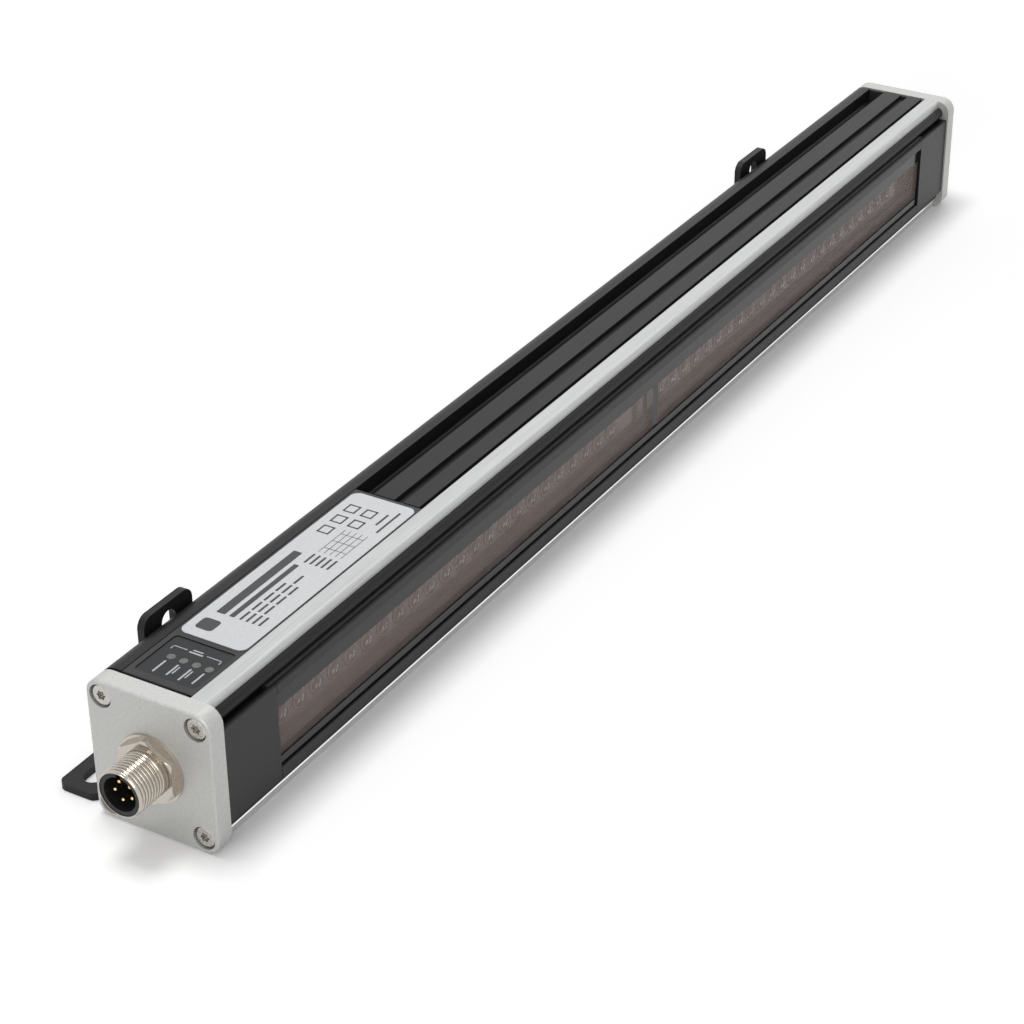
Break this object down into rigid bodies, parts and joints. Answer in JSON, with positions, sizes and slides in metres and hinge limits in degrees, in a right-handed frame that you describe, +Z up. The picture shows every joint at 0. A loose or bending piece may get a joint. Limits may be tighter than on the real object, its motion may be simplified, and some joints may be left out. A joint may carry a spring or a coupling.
{
  "type": "safety light curtain",
  "caption": "Safety light curtain bar: dark extruded housing with a smoked optical window, status lights, round plug and clamped folded brackets.",
  "frame": {"origin": "centre of the plug's shoulder, where a cable socket's coupling nut seats", "axes": "+Y runs along the bar away from the plug, +X out of the optical front, +Z up to the side with the status lights"},
  "size_m": [0.0478, 0.4233, 0.0397],
  "materials": {
    "housing": "satin",
    "silver": "satin",
    "gasket": "matte",
    "steel": "satin",
    "nickel": "polished",
    "gold": "polished",
    "black_plastic": "matte",
    "smoked_pane": "gloss",
    "lens": "gloss",
    "board": "satin",
    "component": "matte",
    "status_sheet": "satin",
    "light_pipe": "gloss",
    "label": "satin",
    "bracket_black": "matte"
  },
  "bodies": {
    "root": {"housing_profile": "housing", "trim_strip_top": "silver", "trim_strip_bottom": "silver", "end_plate_near": "silver", "end_plate_far": "silver", "gasket_near": "gasket", "gasket_far": "gasket", "end_screws_near": "steel", "end_screws_far": "steel", "plug_shell": "nickel", "plug_insert": "black_plastic", "plug_pins": "gold", "plug_seal": "gasket", "plug_lock_nut": "nickel", "frame_strip_top": "black_plastic", "frame_strip_bottom": "black_plastic", "end_block_near": "black_plastic", "end_block_far": "black_plastic", "window_pane": "smoked_pane", "optic_carrier_1": "black_plastic", "optic_carrier_2": "black_plastic", "lens_bar_1": "lens", "lens_bar_2": "lens", "diode_board_1": "board", "diode_board_2": "board", "diodes_1": "component", "diodes_2": "component", "control_board": "board", "control_board_parts": "component", "display_cover": "black_plastic", "status_window": "status_sheet", "light_guides": "light_pipe", "status_board": "board", "label_plate": "label"},
    "near_clamp": {"t_bolt_near": "steel", "washer_near": "steel", "nut_near": "steel"},
    "near_bracket": {"bracket_near": "bracket_black"},
    "far_clamp": {"t_bolt_far": "steel", "washer_far": "steel", "nut_far": "steel"},
    "far_bracket": {"bracket_far": "bracket_black"}
  },
  "joints": [
    {"name": "near_bracket_along", "type": "slide", "parent": "root", "child": "near_clamp", "axis": [0, 1, 0], "range_m": [-0.021, 0.118]},
    {"name": "near_bracket_height", "type": "slide", "parent": "near_clamp", "child": "near_bracket", "axis": [0, 0, 1], "range_m": [-0.016, 0.0058]},
    {"name": "far_bracket_along", "type": "slide", "parent": "root", "child": "far_clamp", "axis": [0, 1, 0], "range_m": [-0.118, 0.071]},
    {"name": "far_bracket_height", "type": "slide", "parent": "far_clamp", "child": "far_bracket", "axis": [0, 0, 1], "range_m": [-0.016, 0.0058]}
  ]
}
